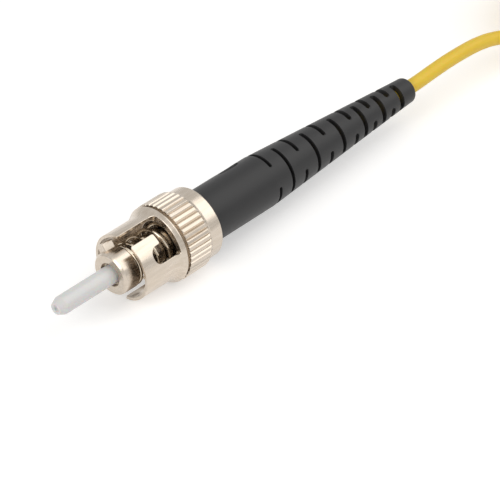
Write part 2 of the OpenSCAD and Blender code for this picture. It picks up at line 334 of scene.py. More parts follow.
zirconia = finish(
    "ground_zirconia", display(236, 237, 236), display(229, 230, 230), (0.14, 0.24), 0.35,
    (6, 1, 1), IOR=1.6, Subsurface_Weight=0.3, Subsurface_Scale=0.001,
)
FERRULE_R, TIP_R, FIBRE_HOLE_R = 1.25, 0.8, 0.065
TIP_CONE, FERRULE_REAR = 0.95, 12.7
ceramic = Shell()
ceramic.turned(rounded([
    (0, FIBRE_HOLE_R, 0), (0, TIP_R, 0.04), (TIP_CONE, FERRULE_R, 0.5),
    (FERRULE_REAR - 0.3, FERRULE_R, 0.1), (FERRULE_REAR, FERRULE_R - 0.3, 0.05),
    (FERRULE_REAR, 0.4, 0.05), (FERRULE_REAR - 0.6, FIBRE_HOLE_R, 0),
]))
fit("ground_ferrule", ceramic.mesh("ground_ferrule"), zirconia, "ferrule")
dress("far_ferrule", zirconia)

# ---- Glass fibre --------------------------------------------------------
# One fibre from end face to end face, glued in the ferrule's hole and
# polished flush with it, so only its round end shows.
glass = finish(
    "fibre_glass", display(214, 226, 232), display(200, 214, 224), (0.02, 0.05), 0.05,
    IOR=1.46, Transmission_Weight=0.6,
)
dress("optical_fibre", glass)
dress("far_optical_fibre", glass)

# ---- Connector body -----------------------------------------------------
# Brass bar, turned, then bright nickel plated.  The nose ring has a recess
# round the ferrule and a milled key lug; the ribbed post behind takes the crimp.
nickel = finish(
    "bright_nickel", display(211, 200, 187), display(198, 186, 171), (0.19, 0.3), 0.5,
    (0.15, 1, 1), bump=0.0012, metal=1.0,
)
NOSE_X, NOSE_REAR, NOSE_R, NOSE_CHAMFER = 9.2, 11.65, 2.9, 0.28
RECESS_R, RECESS_DEEP = 1.6, 0.7
SHAFT_R, SHAFT_REAR = 2.1, 21.8
CLIP_FROM, CLIP_TO, CLIP_GROOVE_R = 20.83, 21.27, 1.7
POST_R, POST_REAR, BODY_BORE_R = 1.55, 29.8, 0.5
POST_RIBS, RIB_DEEP, RIB_MARGIN, RIB_ROUND = 8, 0.1, 0.3, 0.03
RIB_PITCH = (POST_REAR - SHAFT_REAR - 2 * RIB_MARGIN) / POST_RIBS
post = []
for rib in range(POST_RIBS):
    x = SHAFT_REAR + RIB_MARGIN + rib * RIB_PITCH
    post += [
        (x, POST_R, RIB_ROUND), (x + 0.25 * RIB_PITCH, POST_R - RIB_DEEP, RIB_ROUND),
        (x + 0.5 * RIB_PITCH, POST_R - RIB_DEEP, RIB_ROUND), (x + 0.75 * RIB_PITCH, POST_R, RIB_ROUND),
    ]
nose = [
    (NOSE_X + RECESS_DEEP, FERRULE_R, 0), (NOSE_X + RECESS_DEEP, RECESS_R, 0.08),
    (NOSE_X, RECESS_R, 0.1), (NOSE_X, NOSE_R - NOSE_CHAMFER, 0.05), (NOSE_X + NOSE_CHAMFER, NOSE_R, 0.1),
    (NOSE_REAR, NOSE_R, 0.1), (NOSE_REAR, SHAFT_R, 0.12),
]
shaft = [
    (CLIP_FROM, SHAFT_R, 0.03), (CLIP_FROM, CLIP_GROOVE_R, 0), (CLIP_TO, CLIP_GROOVE_R, 0),
    (CLIP_TO, SHAFT_R, 0.03), (SHAFT_REAR, SHAFT_R, 0.05), (SHAFT_REAR, POST_R, 0.05),
]
bore = [
    (POST_REAR, POST_R, 0.1), (POST_REAR, BODY_BORE_R, 0.1), (FERRULE_REAR, BODY_BORE_R, 0),
    (FERRULE_REAR, FERRULE_R, 0),
]
barrel = Shell()
barrel.turned(rounded(nose + shaft + post + bore))


def bevelled_block(low, high, bevel):
    """Corner points and faces of a block with rounded edges, in millimetres."""
    work = bmesh.new()
    bmesh.ops.create_cube(work, size=1)
    for vert in work.verts:
        vert.co = [low[k] if vert.co[k] < 0 else high[k] for k in range(3)]
    bmesh.ops.bevel(work, geom=list(work.edges), offset=bevel, segments=3, profile=0.5, affect="EDGES")
    work.verts.index_update()
    points = [tuple(vert.co) for vert in work.verts]
    faces = [[vert.index for vert in face.verts] for face in work.faces]
    work.free()
    return points, faces


MARK_ANGLE = -38
KEY_FROM, KEY_TO, KEY_HALF_WIDTH = 9.8, 11.5, 0.6
KEY_ROOT_R, KEY_R, KEY_BEVEL = 2.5, 3.85, 0.12
lug_points, lug_faces = bevelled_block(
    (KEY_FROM, -KEY_HALF_WIDTH, KEY_ROOT_R), (KEY_TO, KEY_HALF_WIDTH, KEY_R), KEY_BEVEL,
)
lug_turn = Matrix.Rotation(math.radians(MARK_ANGLE), 3, "X")
barrel.add([tuple(lug_turn @ Vector(p) * MM) for p in lug_points], lug_faces)
fit_both_ends("plated_body", barrel.mesh("plated_body"), nickel, "connector_body")

# ---- Spring -------------------------------------------------------------
# Round stainless wire wound on a mandrel, with most of a turn closed at each
# end.  It sits on the shaft between the nose ring and the washer.
spring_steel = finish(
    "bright_wire", display(222, 210, 192), display(205, 192, 172), (0.1, 0.18), 0.3,
    bump=0.001, metal=1.0,
)


def tree_math(tree, operation, *values):
    """A Math node; values are numbers or sockets."""
    node = tree.nodes.new("ShaderNodeMath")
    node.operation = operation
    for socket, value in zip(node.inputs, values):
        if isinstance(value, (int, float)):
            socket.default_value = value
        else:
            tree.links.new(value, socket)
    return node.outputs[0]


def geometry_tree(name, sizes):
    """A tree with a geometry input and output and one named number input for each size."""
    tree = bpy.data.node_groups.new(name, "GeometryNodeTree")
    tree.interface.new_socket("Geometry", in_out="INPUT", socket_type="NodeSocketGeometry")
    tree.interface.new_socket("Geometry", in_out="OUTPUT", socket_type="NodeSocketGeometry")
    for size in sizes:
        tree.interface.new_socket(size, in_out="INPUT", socket_type="NodeSocketFloat")
    return tree, tree.nodes.new("NodeGroupInput"), tree.nodes.new("NodeGroupOutput")


def grown(tree, sizes, base, name):
    """Runs a tree on a base mesh and gives the plain mesh that it makes."""
    seed = bpy.data.objects.new(name, base)
    bpy.context.scene.collection.objects.link(seed)
    modifier = seed.modifiers.new(name, "NODES")
    modifier.node_group = tree
    for item in tree.interface.items_tree:
        if item.in_out == "INPUT" and item.name in sizes:
            modifier[item.identifier] = float(sizes[item.name])
    bpy.context.view_layer.update()
    graph = bpy.context.evaluated_depsgraph_get()
    result = bpy.data.meshes.new_from_object(seed.evaluated_get(graph))
    result.name = name
    bpy.data.objects.remove(seed)
    return result


spring_tree, given, result = geometry_tree("spring_coil", (
    "Wire Radius", "Coil Radius", "Start", "Closed Pitch", "Open Pitch", "End Turns", "Open Turns",
    "Start Angle",
))
RINGS_PER_TURN, WIRE_SIDES = 60, 16
line = spring_tree.nodes.new("GeometryNodeCurvePrimitiveLine")
fine = spring_tree.nodes.new("GeometryNodeResampleCurve")
total = tree_math(
    spring_tree, "ADD", given.outputs["Open Turns"],
    tree_math(spring_tree, "MULTIPLY", given.outputs["End Turns"], 2.0),
)
count = tree_math(spring_tree, "MULTIPLY", total, RINGS_PER_TURN)
spring_tree.links.new(line.outputs[0], fine.inputs["Curve"])
spring_tree.links.new(tree_math(spring_tree, "ADD", count, 1.0), fine.inputs["Count"])
index = spring_tree.nodes.new("GeometryNodeInputIndex")
turn = tree_math(spring_tree, "DIVIDE", index.outputs[0], float(RINGS_PER_TURN))
opened = tree_math(
    spring_tree, "MAXIMUM", 0.0,
    tree_math(
        spring_tree, "MINIMUM",
        tree_math(spring_tree, "SUBTRACT", turn, given.outputs["End Turns"]),
        given.outputs["Open Turns"],
    ),
)
along = tree_math(
    spring_tree, "ADD", given.outputs["Start"],
    tree_math(
        spring_tree, "ADD",
        tree_math(spring_tree, "MULTIPLY", opened, given.outputs["Open Pitch"]),
        tree_math(
            spring_tree, "MULTIPLY", tree_math(spring_tree, "SUBTRACT", turn, opened),
            given.outputs["Closed Pitch"],
        ),
    ),
)
angle = tree_math(
    spring_tree, "ADD", given.outputs["Start Angle"],
    tree_math(spring_tree, "MULTIPLY", turn, 2 * math.pi),
)
spot = spring_tree.nodes.new("ShaderNodeCombineXYZ")
spring_tree.links.new(along, spot.inputs[0])
for axis, wave, sign in ((1, "SINE", -1.0), (2, "COSINE", 1.0)):
    reach = tree_math(spring_tree, "MULTIPLY", given.outputs["Coil Radius"], sign)
    spring_tree.links.new(
        tree_math(spring_tree, "MULTIPLY", reach, tree_math(spring_tree, wave, angle)),
        spot.inputs[axis],
    )
bent = spring_tree.nodes.new("GeometryNodeSetPosition")
spring_tree.links.new(fine.outputs[0], bent.inputs["Geometry"])
spring_tree.links.new(spot.outputs[0], bent.inputs["Position"])
wire = spring_tree.nodes.new("GeometryNodeCurvePrimitiveCircle")
wire.inputs["Resolution"].default_value = WIRE_SIDES
spring_tree.links.new(given.outputs["Wire Radius"], wire.inputs["Radius"])
swept = spring_tree.nodes.new("GeometryNodeCurveToMesh")
swept.inputs["Fill Caps"].default_value = True
spring_tree.links.new(bent.outputs[0], swept.inputs["Curve"])
spring_tree.links.new(wire.outputs[0], swept.inputs["Profile Curve"])
plain = spring_tree.nodes.new("GeometryNodeRealizeInstances")
plated = spring_tree.nodes.new("GeometryNodeSetMaterial")
plated.inputs["Material"].default_value = spring_steel
spring_tree.links.new(swept.outputs[0], plain.inputs[0])
spring_tree.links.new(plain.outputs[0], plated.inputs["Geometry"])
spring_tree.links.new(plated.outputs[0], result.inputs[0])

WIRE_R, COIL_R, WIRE_GAP = 0.25, 2.6, 0.01
WASHER_X = 19.05
SPRING_FROM = NOSE_REAR + WIRE_R + WIRE_GAP
SPRING_TO = WASHER_X - WIRE_R - WIRE_GAP
CLOSED_PITCH = 2 * (WIRE_R + WIRE_GAP)
END_TURNS, OPEN_TURNS, SPRING_ANGLE = 0.8, 3.2, -50
coil = grown(spring_tree, {
    "Wire Radius": WIRE_R * MM,
    "Coil Radius": COIL_R * MM,
    "Start": SPRING_FROM * MM,
    "Closed Pitch": CLOSED_PITCH * MM,
    "Open Pitch": (SPRING_TO - SPRING_FROM - 2 * END_TURNS * CLOSED_PITCH) / OPEN_TURNS * MM,
    "End Turns": END_TURNS,
    "Open Turns": OPEN_TURNS,
    "Start Angle": math.radians(SPRING_ANGLE),
}, bpy.data.meshes.new("spring_coil"), "coil_spring")
fit_both_ends("coil_spring", coil, spring_steel, "spring")

# ---- Thrust washer ------------------------------------------------------
# Flat stamped steel washer on the shaft, edges tumbled round.  The spring
# pushes it back against the flange inside the nut.
washer_steel = finish(
    "tumbled_steel", display(190, 184, 174), display(168, 160, 148), (0.25, 0.4), 0.4, metal=1.0,
    bump=0.002,
)
WASHER_T, WASHER_R, WASHER_BORE_R = 0.52, 3, 2.18
disc = Shell()
disc.turned(rounded([
    (WASHER_X, WASHER_BORE_R, 0.06), (WASHER_X, WASHER_R, 0.15),
    (WASHER_X + WASHER_T, WASHER_R, 0.15), (WASHER_X + WASHER_T, WASHER_BORE_R, 0.06),
]))
fit_both_ends("spring_washer", disc.mesh("spring_washer"), washer_steel, "thrust_washer")

# ---- Coupling nut -------------------------------------------------------
# Turned and knurled brass, nickel plated.  Two bayonet slots are milled
# through its thin front wall; the flange inside bears on the washer.
BARREL_R, BARREL_BORE_R = 4.6, 4.15
NUT_FRONT, TAB_REAR, SLOT_FLOOR, NOTCH_END = 11.2, 15.0, 17.1, 13.2
SLOT_HALF_WIDTH = 1.2
ENTRY_MIDDLE, NOTCH_MIDDLE = 7.72, 57.28
HALF_FROM, HALF_TO = -57, 123
CONE_FROM, CONE_RUN, CONE_RISE = 16.4, 1.2, 0.7
SLEEVE_END = 17.4
EDGE_ROUND, EDGE_STEP, EDGE_ROOM = 0.07, 0.24, 0.26


def cone_radius(x):
    return BARREL_R + max(0, x - CONE_FROM) / CONE_RUN * CONE_RISE


def slot_outline(radius):
    """Half of the nut's open front edge, with one slot, as (x, arc) corners at the barrel's radius."""
    half = math.degrees(math.asin(SLOT_HALF_WIDTH / radius))

    def arc(psi):
        return math.radians(psi) * BARREL_R

    corners = [
        (NUT_FRONT, arc(HALF_FROM), 0), (NUT_FRONT, arc(ENTRY_MIDDLE - half), 0.2),
        (SLOT_FLOOR, arc(ENTRY_MIDDLE - half), 1.15), (SLOT_FLOOR, arc(NOTCH_MIDDLE + half), 0.35),
        (NOTCH_END, arc(NOTCH_MIDDLE + half), 1.15), (NOTCH_END, arc(NOTCH_MIDDLE - half), 1.15),
        (TAB_REAR, arc(NOTCH_MIDDLE - half), 0.25), (TAB_REAR, arc(ENTRY_MIDDLE + half), 0.25),
        (NUT_FRONT, arc(ENTRY_MIDDLE + half), 0.2), (NUT_FRONT, arc(HALF_TO), 0),
    ]
    return rounded(corners, 8)


def divided(points, counts, closed):
    """The same path with each stretch cut into the given number of equal steps."""
    made = []
    for i, count in enumerate(counts):
        a, b = points[i], points[(i + 1) % len(points)]
        made += [(a[0] + (b[0] - a[0]) * k / count, a[1] + (b[1] - a[1]) * k / count)
                 for k in range(count)]
    return made if closed else made + [points[-1]]


def stretch_counts(points, step, closed):
    """How many steps of about the given length each stretch of a path takes."""
    pairs = zip(points, points[1:] + (points[:1] if closed else []))
    return [max(1, round(math.dist(a, b) / step)) for a, b in pairs]


def inset(points, distance, closed):
    """A path moved to the right of its travel, which is into the metal."""
    moved = []
    for i, (a, b) in enumerate(points):
        last = points[i - 1] if closed or i else points[0]
        after = points[(i + 1) % len(points)] if closed or i + 1 < len(points) else points[-1]
        way = Vector((after[0] - last[0], after[1] - last[1])).normalized()
        if not closed and i in (0, len(points) - 1):
            way = Vector((0, 1))
        moved.append((a + way.y * distance, b - way.x * distance))
    return moved


def inside(outline, a, b):
    """Whether a closed outline goes round the point (a, b)."""
    hit = False
    for (x0, y0), (x1, y1) in zip(outline, outline[1:] + outline[:1]):
        if (y0 > b) != (y1 > b) and a < x0 + (b - y0) / (y1 - y0) * (x1 - x0):
            hit = not hit
    return hit


def clear_of(path, a, b, room):
    return all(math.dist(p, (a, b)) > room for p in path)


def triangles(border, holes, inner_points):
    """Triangles of a flat region with holes; the points keep their order."""
    points, edges = [], []
    for loop in [border] + holes:
        start, size = len(points), len(loop)
        points += loop
        edges += [(start + i, start + (i + 1) % size) for i in range(size)]
    points += inner_points
    cut = delaunay_2d_cdt([Vector(p) for p in points], edges, [], 0, 1e-6)
    origin = [ids[0] for ids in cut[3]]
    kept = []
    for face in cut[2]:
        a = sum(cut[0][i].x for i in face) / 3
        b = sum(cut[0][i].y for i in face) / 3
        if inside(border, a, b) and not any(inside(hole, a, b) for hole in holes):
            kept.append([origin[i] for i in face])
    return points, kept


def strip_faces(size, rings, closed=True):
    """Four-sided faces between each ring of points and the next."""
    return [
        (r * size + i, r * size + (i + 1) % size, (r + 1) * size + (i + 1) % size, (r + 1) * size + i)
        for r in range(rings - 1) for i in range(size if closed else size - 1)
    ]


def wall_rings(shell, edge_out, edge_in, closed, arc_radius, outer, inner, bevel, steps=4):
    """The wall of an opening: a rounded outer edge, the cut face and a rounded inner edge."""
    rings = []
    for k in range(steps + 1):
        lean = math.pi / 2 * k / steps
        ring = inset(edge_out, bevel * (1 - math.sin(lean)), closed)
        rings.append([at(x, outer(x) - bevel * (1 - math.cos(lean)), math.degrees(s / arc_radius))
                      for x, s in ring])
    for k in range(steps, -1, -1):
        lean = math.pi / 2 * k / steps
        ring = inset(edge_in, bevel * (1 - math.sin(lean)), closed)
        rings.append([at(x, inner(x) + bevel * (1 - math.cos(lean)), math.degrees(s / arc_radius))
                      for x, s in ring])
    shell.add([p for ring in rings for p in ring], strip_faces(len(edge_out), len(rings), closed))


corners_out, corners_in = slot_outline(BARREL_R), slot_outline(BARREL_BORE_R)
counts = stretch_counts(corners_out, EDGE_STEP, False)
edge_out = divided(corners_out, counts, False)
edge_in = divided(corners_in, counts, False)
GRID = 3
rear = [(SLEEVE_END, math.radians(psi) * BARREL_R) for psi in range(HALF_TO, HALF_FROM - 1, -GRID)]
ROWS = 14
row_x = [NUT_FRONT + (SLEEVE_END - NUT_FRONT) * k / ROWS for k in range(1, ROWS)]
sides = [(x, rear[0][1]) for x in row_x], [(x, rear[-1][1]) for x in reversed(row_x)]
front_out = inset(edge_out, EDGE_ROUND, False)
border = front_out + sides[0] + rear + sides[1]
field = [
    (x, math.radians(psi) * BARREL_R)
    for x in row_x for psi in range(HALF_FROM + GRID, HALF_TO, GRID)
]
field = [p for p in field if inside(border, *p) and clear_of(front_out, *p, EDGE_ROOM)]
flat, skin = triangles(border, [], field)
nut = Shell()
for half_turn in (0, 180):
    psi_of = [math.degrees(s / BARREL_R) + half_turn for _, s in flat]
    nut.add([at(x, cone_radius(x), psi) for (x, _), psi in zip(flat, psi_of)], skin)
    under = inset(edge_in, EDGE_ROUND, False) + flat[len(edge_in):]
    psi_of = [math.degrees(s / BARREL_R) + half_turn for _, s in under]
    nut.add([at(x, BARREL_BORE_R, psi) for (x, _), psi in zip(under, psi_of)], skin)
    turned_out = [(x, s + math.radians(half_turn) * BARREL_R) for x, s in edge_out]
    turned_in = [(x, s + math.radians(half_turn) * BARREL_R) for x, s in edge_in]
    wall_rings(nut, turned_out, turned_in, False, BARREL_R, cone_radius,
               lambda x: BARREL_BORE_R, EDGE_ROUND)
SHOULDER_R = BARREL_R + CONE_RISE
GROOVE_FROM, GROOVE_TO, GROOVE_R = 17.75, 18.25, 4.65
KNURL_ROOT_R, KNURL_TO = 5.1, 22
COLLAR_FROM, COLLAR_R, NUT_REAR, REAR_BORE_R = 22.45, 4.925, 24.3, 4
FLANGE_FROM, FLANGE_TO, SPRING_ROOM_R, SPRING_ROOM_FROM = 19.6, 20.8, 3.2, 17.9
behind = rounded([
    (SLEEVE_END, cone_radius(SLEEVE_END), 0), (CONE_FROM + CONE_RUN, SHOULDER_R, 0.06),
    (GROOVE_FROM, SHOULDER_R, 0.06), (GROOVE_FROM, GROOVE_R, 0.05), (GROOVE_TO, GROOVE_R, 0.05),
    (GROOVE_TO, KNURL_ROOT_R, 0.03), (KNURL_TO, KNURL_ROOT_R, 0), (COLLAR_FROM, COLLAR_R, 0.1),
    (NUT_REAR, COLLAR_R, 0.18), (NUT_REAR, REAR_BORE_R, 0.1), (FLANGE_TO, REAR_BORE_R, 0.1),
    (FLANGE_TO, WASHER_BORE_R, 0.08), (FLANGE_FROM, WASHER_BORE_R, 0.08),
    (FLANGE_FROM, SPRING_ROOM_R, 0.05), (SPRING_ROOM_FROM, SPRING_ROOM_R, 0.08),
    (SPRING_ROOM_FROM, BARREL_BORE_R, 0.05), (SLEEVE_END, BARREL_BORE_R, 0),
])
nut.turned(behind, closed=False)
fit_both_ends("bayonet_nut", nut.mesh("bayonet_nut"), nickel, "coupling_nut")

# The knurl: forty straight ridges, rolled between the shoulder and the collar.
RIDGES = 40
ridge_tree, given, result = geometry_tree("knurl_ring", ("Ridges",))
hub = ridge_tree.nodes.new("GeometryNodePoints")
ridge_tree.links.new(given.outputs["Ridges"], hub.inputs["Count"])
set_out = ridge_tree.nodes.new("GeometryNodeInstanceOnPoints")
ridge_tree.links.new(hub.outputs[0], set_out.inputs["Points"])
ridge_tree.links.new(given.outputs["Geometry"], set_out.inputs["Instance"])
index = ridge_tree.nodes.new("GeometryNodeInputIndex")
swing = ridge_tree.nodes.new("ShaderNodeCombineXYZ")
ridge_tree.links.new(
    tree_math(
        ridge_tree, "MULTIPLY", index.outputs[0],
        tree_math(ridge_tree, "DIVIDE", 2 * math.pi, given.outputs["Ridges"]),
    ),
    swing.inputs["X"],
)
ridge_tree.links.new(swing.outputs[0], set_out.inputs["Rotation"])
plain = ridge_tree.nodes.new("GeometryNodeRealizeInstances")
plated = ridge_tree.nodes.new("GeometryNodeSetMaterial")
plated.inputs["Material"].default_value = nickel
ridge_tree.links.new(set_out.outputs[0], plain.inputs[0])
ridge_tree.links.new(plain.outputs[0], plated.inputs["Geometry"])
ridge_tree.links.new(plated.outputs[0], result.inputs[0])

FOOT, CREST = 0.42, 0.19
ROOT_Z, FOOT_Z, CREST_Z = 4.95, 5.12, 5.35
ridge_section = rounded([
    (-FOOT, ROOT_Z, 0), (-FOOT, FOOT_Z, 0), (-CREST, CREST_Z, 0.07), (CREST, CREST_Z, 0.07),
    (FOOT, FOOT_Z, 0), (FOOT, ROOT_Z, 0),
], 3)
# Each station is x and how far the crest has come down there.
ridge_stations = [
    (18.22, 0.12), (18.25, 0.05), (18.32, 0), (18.5, 0), (21.75, 0), (21.92, 0.05), (22.08, 0.16),
    (22.16, 0.24),
]
ridge_points = [
    (x * MM, -y * MM, (min(z, CREST_Z - drop) if z > ROOT_Z else z) * MM)
    for x, drop in ridge_stations for y, z in ridge_section
]
size = len(ridge_section)
ridge_faces = strip_faces(size, len(ridge_stations))
ridge_faces += [tuple(range(size)), tuple(range((len(ridge_stations) - 1) * size, len(ridge_points)))]
one_ridge = Shell()
one_ridge.add(ridge_points, ridge_faces)
knurl = grown(ridge_tree, {"Ridges": RIDGES}, one_ridge.mesh("knurl_ridge"), "rolled_knurl")
fit_both_ends("rolled_knurl", knurl, nickel, "coupling_nut", stands_in=False)

# ---- Retaining clip and crimp -------------------------------------------
# An open spring ring in the shaft's groove keeps the nut on.  The stepped
# sleeve of annealed brass is crimped over the yarn and the jacket.
clip_steel = finish(
    "blued_clip", display(120, 116, 112), display(92, 89, 86), (0.25, 0.4), 0.3, metal=1.0, bump=0.002,
)
crimp_metal = finish(
    "crimped_nickel", display(196, 190, 180), display(176, 168, 156), (0.25, 0.4), 0.6, metal=1.0,
    bump=0.004,
)
for end in ("", "far_"):
    dress(end + "retaining_clip", clip_steel)
    dress(end + "crimp_sleeve", crimp_metal)

# ---- Cord inside the boot -----------------------------------------------
# The tight buffer is extruded over the fibre, aramid yarn lies round it for
# strength, and the yellow jacket runs up into the crimp sleeve.
buffer_plastic = finish(
    "buffer_nylon", display(236, 234, 222), display(226, 223, 208), (0.35, 0.45), 0.5, bump=0.003,
)
aramid = finish(
    "aramid_strands", display(226, 190, 92), display(178, 140, 58), (0.45, 0.7), 0.12, (0.05, 1, 1),
    bump=0.02,
)
jacket_pvc = finish(
    "yellow_pvc", display(250, 214, 66), display(246, 206, 54), (0.38, 0.46), 0.9, (0.3, 1, 1), bump=0.004,
    Subsurface_Weight=0.15, Subsurface_Scale=0.0006,
)
for end in ("", "far_"):
    dress(end + "tight_buffer", buffer_plastic)
    dress(end + "aramid_yarn", aramid)
    dress(end + "cable_jacket", jacket_pvc)

# ---- Strain relief boot -------------------------------------------------
# Moulded in dark grey rubber and pushed over the crimp.  Twelve pairs of
# relief slots, each pair a quarter turn from the last, let it bend evenly.
BOOT_R, BOOT_TAIL_R, BOOT_BORE_R = 3.65, 1.8, 1.04
TAPER_FROM, TAPER_TO, BOOT_END = 35.85, 64.2, 64.9
RELIEF_FIRST, RELIEF_PITCH, RELIEF_REAR_PITCH = 36.35, 2.62, 1.94
RELIEF_COUNT, RELIEF_FRONT = 12, 7
RELIEF_SWEEP, RELIEF_CENTRE = 132.5, 54.4
RELIEF_WIDTH_FRONT, RELIEF_WIDTH_REAR = 0.5, 0.86
SLOT_ROUND, LIP_STEP = 0.05, 0.3
BOOT_FRONT, SOCKET_R, SOCKET_END = 22, 2.3, 29.9
SLEEVE_BORE_R, STEP_X = 1.5, 31
MARK_FROM, MARK_TO = 30, 34.6
FIRST_BAND, LAST_BAND_END = 35.95, 62.8
MARK_X, MARK_LONG, MARK_WIDE, MARK_DEEP = 32.3, 3.6, 1.9, 0.45
boot_rubber = finish(
    "boot_rubber", display(46, 46, 47), display(41, 41, 42), (0.42, 0.5), 0.16, bump=0.004,
    Specular_IOR_Level=0.4,
)


def boot_radius(x):
    run = min(1, max(0, (x - TAPER_FROM) / (TAPER_TO - TAPER_FROM)))
    return BOOT_R + (BOOT_TAIL_R - BOOT_R) * run


def relief_x(i):
    """Station of a pair of relief slots; they lie closer together past the middle."""
    front = min(i, RELIEF_FRONT - 1)
    return RELIEF_FIRST + RELIEF_PITCH * front + RELIEF_REAR_PITCH * (i - front)


def loop_with_ends(middle_x, middle_s, long_x, long_s):
    """A slot's outline with half-round ends, anticlockwise in (x, arc)."""
    radius = min(long_x, long_s) / 2 * 0.98
    a, b = long_x / 2, long_s / 2
    return rounded([
        (middle_x - a, middle_s - b, radius), (middle_x + a, middle_s - b, radius),
        (middle_x + a, middle_s + b, radius), (middle_x - a, middle_s + b, radius),
    ], 8)


def ring_row(x, arc_radius, first, last):
    return [(x, math.radians(psi) * arc_radius) for psi in range(first, last + 1, GRID)]


def band(from_x, to_x, arc_radius, seam, holes, rows, room):
    """Flat outer skin of one band of the boot, cut at the seam angle, with its holes left open."""
    steps = [from_x + (to_x - from_x) * k / rows for k in range(rows + 1)]
    low, high = math.radians(seam) * arc_radius, math.radians(seam + 360) * arc_radius
    border = ring_row(from_x, arc_radius, seam, seam + 360)
    border += [(x, high) for x in steps[1:-1]]
    border += list(reversed(ring_row(to_x, arc_radius, seam, seam + 360)))
    border += [(x, low) for x in reversed(steps[1:-1])]
    field = [
        (x, math.radians(psi) * arc_radius)
        for x in steps[1:-1] for psi in range(seam + GRID, seam + 360, GRID)
    ]
    field = [
        p for p in field
        if not any(inside(hole, *p) for hole in holes) and all(clear_of(hole, *p, room) for hole in holes)
    ]
    return triangles(border, holes, field)


boot = Shell()
boot.turned(rounded([
    (STEP_X, BOOT_BORE_R + 0.6, 0), (STEP_X, SLEEVE_BORE_R, 0), (SOCKET_END, SOCKET_R, 0),
    (BOOT_FRONT, SOCKET_R, 0.2), (BOOT_FRONT, BOOT_R, 0.25), (MARK_FROM, BOOT_R, 0),
]), closed=False)
mark_s = math.radians(MARK_ANGLE) * BOOT_R
mark_outline = loop_with_ends(MARK_X, mark_s, MARK_LONG, MARK_WIDE)
mark = divided(mark_outline, stretch_counts(mark_outline, LIP_STEP, True), True)
mark_lip = inset(mark, SLOT_ROUND, True)
seam = GRID * round((MARK_ANGLE + 180) / GRID)
mark_lip = [(x, s + math.radians(360) * BOOT_R) for x, s in mark_lip]
flat, skin = band(MARK_FROM, MARK_TO, BOOT_R, seam, [mark_lip], rows=8, room=0.2)
boot.add([at(x, BOOT_R, math.degrees(s / BOOT_R)) for x, s in flat], skin)
rings = []
for lean, sink in ((0, 0), (0.4, 0), (0.8, 0), (math.pi / 2, 0), (math.pi / 2, MARK_DEEP - SLOT_ROUND)):
    ring = inset(mark, SLOT_ROUND * (1 - math.sin(lean)), True)
    depth = SLOT_ROUND * (1 - math.cos(lean)) + sink
    rings.append([at(x, BOOT_R - depth, math.degrees(s / BOOT_R)) for x, s in ring])
for share in (0.6, 0.2):
    rings.append([at(MARK_X + (x - MARK_X) * share, BOOT_R - MARK_DEEP,
                     math.degrees((mark_s + (s - mark_s) * share) / BOOT_R)) for x, s in mark])
size = len(mark)
floor_of_mark = tuple(range((len(rings) - 1) * size, len(rings) * size))
boot.add([p for ring in rings for p in ring], strip_faces(size, len(rings)) + [floor_of_mark])
boot.turned([
    (MARK_TO, BOOT_R), (35.6, BOOT_R), (35.8, BOOT_R - 0.002), (FIRST_BAND, boot_radius(FIRST_BAND)),
], closed=False)
boot.turned([
    (STEP_X, BOOT_BORE_R + 0.6), (MARK_TO, SLEEVE_BORE_R), (35, BOOT_BORE_R), (FIRST_BAND, BOOT_BORE_R),
], closed=False)
edges_x = [FIRST_BAND]
edges_x += [(relief_x(i) + relief_x(i + 1)) / 2 for i in range(RELIEF_COUNT - 1)]
edges_x.append(LAST_BAND_END)
for i in range(RELIEF_COUNT):
    x = relief_x(i)
    width = RELIEF_WIDTH_FRONT + (RELIEF_WIDTH_REAR - RELIEF_WIDTH_FRONT) * i / (RELIEF_COUNT - 1)
    middle = RELIEF_CENTRE + (90 if i % 2 == 0 else 0)
    seam = GRID * round((middle - 90) / GRID)
    arc_radius = boot_radius(x)
    loops = []
    for side in (0, 180):
        loop = loop_with_ends(
            x, math.radians(middle + side) * arc_radius, width,
            math.radians(RELIEF_SWEEP) * arc_radius,
        )
        loops.append(divided(loop, stretch_counts(loop, LIP_STEP, True), True))
    lips = [inset(loop, SLOT_ROUND, True) for loop in loops]
    flat, skin = band(edges_x[i], edges_x[i + 1], arc_radius, seam, lips, rows=5, room=0.16)
    psi_of = [math.degrees(s / arc_radius) for _, s in flat]
    boot.add([at(px, boot_radius(px), psi) for (px, _), psi in zip(flat, psi_of)], skin)
    boot.add([at(px, BOOT_BORE_R, psi) for (px, _), psi in zip(flat, psi_of)], skin)
    for loop in loops:
        wall_rings(boot, loop, loop, True, arc_radius, boot_radius, lambda px: BOOT_BORE_R,
                   SLOT_ROUND)
boot.turned(rounded([
    (edges_x[-1], boot_radius(edges_x[-1]), 0), (BOOT_END, BOOT_TAIL_R - 0.02, 0.6),
    (BOOT_END, BOOT_BORE_R, 0.1), (edges_x[-1], BOOT_BORE_R, 0),
], 8), closed=False)
fit_both_ends("relief_boot", boot.mesh("relief_boot"), boot_rubber, "strain_relief_boot")

